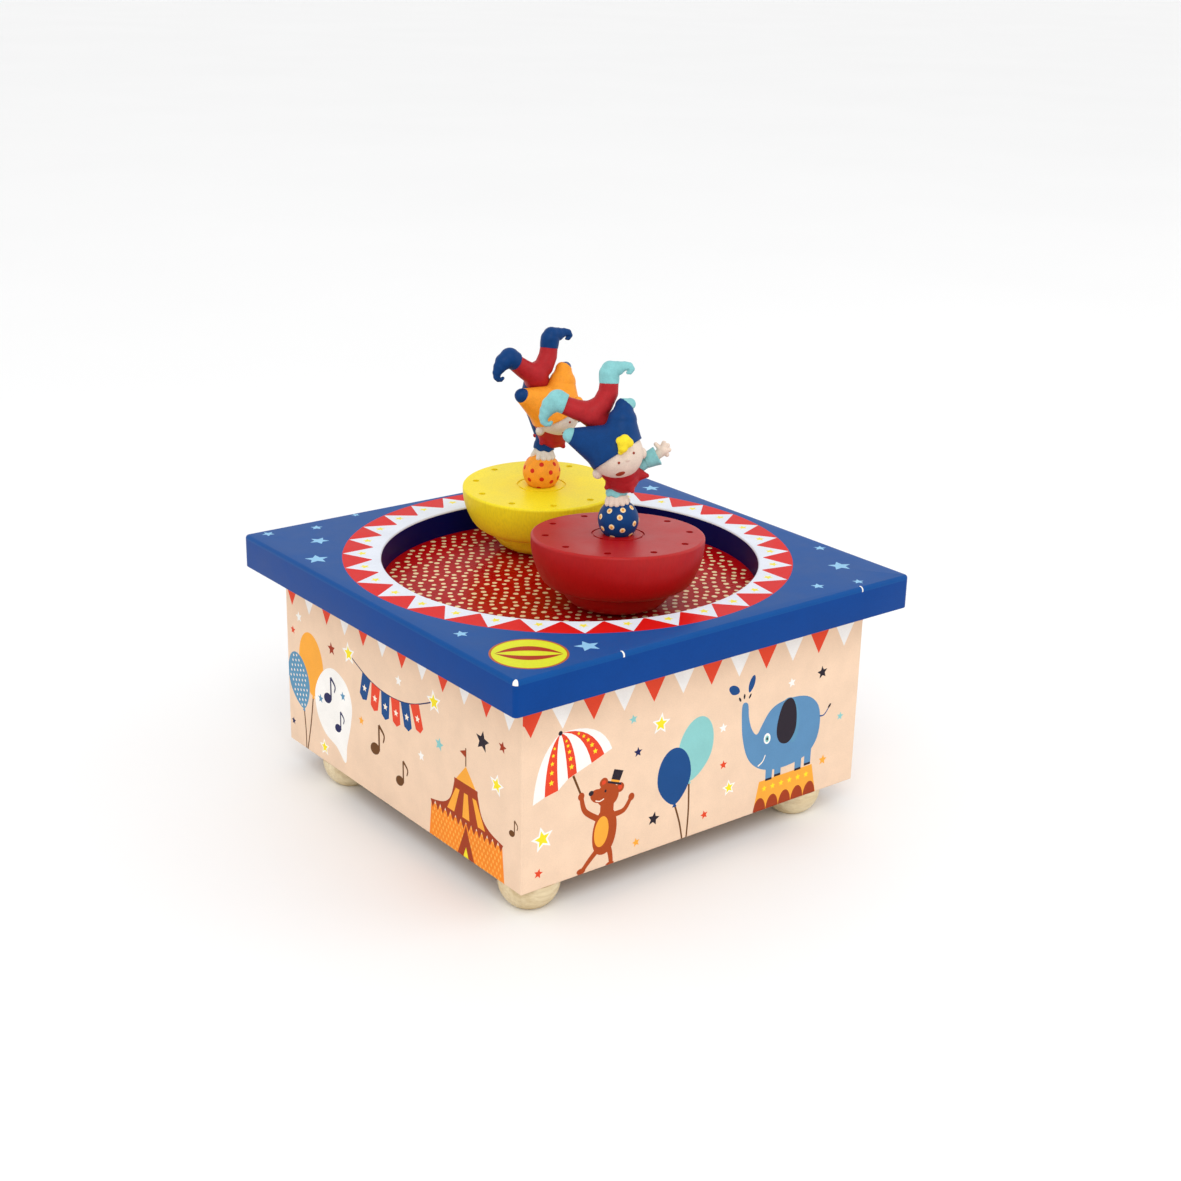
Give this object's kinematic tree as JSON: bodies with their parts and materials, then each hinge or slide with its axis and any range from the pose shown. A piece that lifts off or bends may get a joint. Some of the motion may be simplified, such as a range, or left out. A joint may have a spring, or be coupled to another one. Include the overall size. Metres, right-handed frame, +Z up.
{
  "type": "wind-up magnetic music box",
  "caption": "Square wooden music box with a round sunken dance floor, ball feet, a clockwork movement and loose magnetic half-dome dancers carrying tumbling jesters.",
  "frame": {"origin": "on the ground under the middle of the box", "axes": "+Z up, -Y the front, +X to the right as seen from the front"},
  "size_m": [0.155, 0.155, 0.1507],
  "materials": {
    "printed_board": "matte print on fibreboard",
    "lid_print": "satin printed and varnished fibreboard",
    "floor_print": "satin printed and varnished fibreboard",
    "plain_board": "raw fibreboard",
    "beech": "clear matt varnish",
    "red_lacquer": "satin lacquer",
    "yellow_lacquer": "satin lacquer",
    "resin_blue": "hand-painted cast resin",
    "resin_orange": "hand-painted cast resin",
    "steel": "machined",
    "zinc": "cast zinc",
    "brass": "turned",
    "magnet_nickel": "nickel plated"
  },
  "bodies": {
    "case": {"front_panel": "printed_board", "back_panel": "printed_board", "left_panel": "printed_board", "right_panel": "printed_board", "lid": "lid_print", "well_floor": "floor_print", "bottom_board": "plain_board", "corner_blocks": "beech", "foot_front_left": "beech", "foot_front_right": "beech", "foot_back_left": "beech", "foot_back_right": "beech", "foot_screws": "steel", "movement_screws": "steel", "rotor_bridge": "beech", "bridge_bush": "brass", "bedplate": "zinc", "barrel_bridge": "zinc", "inner_bearing_plate": "zinc", "outer_bearing_plate": "zinc", "governor_frame": "zinc", "comb": "steel", "comb_screws": "steel", "ratchet_click": "steel"},
    "spring_drive": {"great_wheel": "brass", "spring_barrel": "zinc", "mainspring": "steel"},
    "winder": {"winding_arbor": "steel", "ratchet_wheel": "steel", "winding_key": "steel"},
    "cylinder": {"tune_cylinder": "brass", "cylinder_arbor": "steel", "crown_pinion": "brass", "cylinder_wheel": "brass"},
    "governor": {"governor_arbor": "steel", "governor_pinion": "brass", "worm_wheel": "brass"},
    "fan": {"fan_worm": "steel", "fan_blades": "brass"},
    "rotor": {"rotor_shaft": "steel", "rotor_pinion": "brass", "rotor_hub": "brass", "rotor_arm": "beech"},
    "red_spinner": {"red_drive_magnet": "magnet_nickel"},
    "yellow_spinner": {"yellow_drive_magnet": "magnet_nickel"},
    "red_dancer": {"red_dome": "red_lacquer", "red_dome_magnet": "magnet_nickel", "red_figure_pin": "steel", "red_jester": "resin_blue"},
    "yellow_dancer": {"yellow_dome": "yellow_lacquer", "yellow_dome_magnet": "magnet_nickel", "yellow_figure_pin": "steel", "yellow_jester": "resin_orange"}
  },
  "joints": [
    {"name": "rotor_turn", "type": "hinge", "parent": "case", "child": "rotor", "pos_m": [0, 0, 0.03], "axis": [0, 0, 1], "continuous": true},
    {"name": "barrel_turn", "type": "hinge", "parent": "case", "child": "spring_drive", "pos_m": [-0.0216, 0, 0.017], "axis": [0, 0, 1], "continuous": true},
    {"name": "key_wind", "type": "hinge", "parent": "case", "child": "winder", "pos_m": [-0.0216, 0, 0.01], "axis": [0, 0, -1], "range_deg": [0, 1440]},
    {"name": "cylinder_turn", "type": "hinge", "parent": "case", "child": "cylinder", "pos_m": [-0.0216, 0.03, 0.02307], "axis": [0, 1, 0], "continuous": true},
    {"name": "governor_turn", "type": "hinge", "parent": "case", "child": "governor", "pos_m": [-0.0296, 0.03, 0.02307], "axis": [0, 1, 0], "continuous": true},
    {"name": "fan_turn", "type": "hinge", "parent": "case", "child": "fan", "pos_m": [-0.0356, 0.0437, 0.025], "axis": [0, 0, 1], "continuous": true},
    {"name": "red_spin", "type": "hinge", "parent": "rotor", "child": "red_spinner", "pos_m": [-0.00305, -0.0282, 0.067], "axis": [0, 0, 1], "continuous": true},
    {"name": "red_lift", "type": "slide", "parent": "red_spinner", "child": "red_dancer", "axis": [0, 0, 1], "range_m": [0, 0.06]},
    {"name": "yellow_spin", "type": "hinge", "parent": "rotor", "child": "yellow_spinner", "pos_m": [0.0125, 0.033, 0.067], "axis": [0, 0, 1], "continuous": true},
    {"name": "yellow_lift", "type": "slide", "parent": "yellow_spinner", "child": "yellow_dancer", "axis": [0, 0, 1], "range_m": [0, 0.06]}
  ],
  "couplings": [
    {"joint": "barrel_turn", "follows": "rotor_turn", "ratio": -0.2},
    {"joint": "cylinder_turn", "follows": "rotor_turn", "ratio": -0.8},
    {"joint": "governor_turn", "follows": "rotor_turn", "ratio": 2.4},
    {"joint": "fan_turn", "follows": "rotor_turn", "ratio": 48}
  ]
}
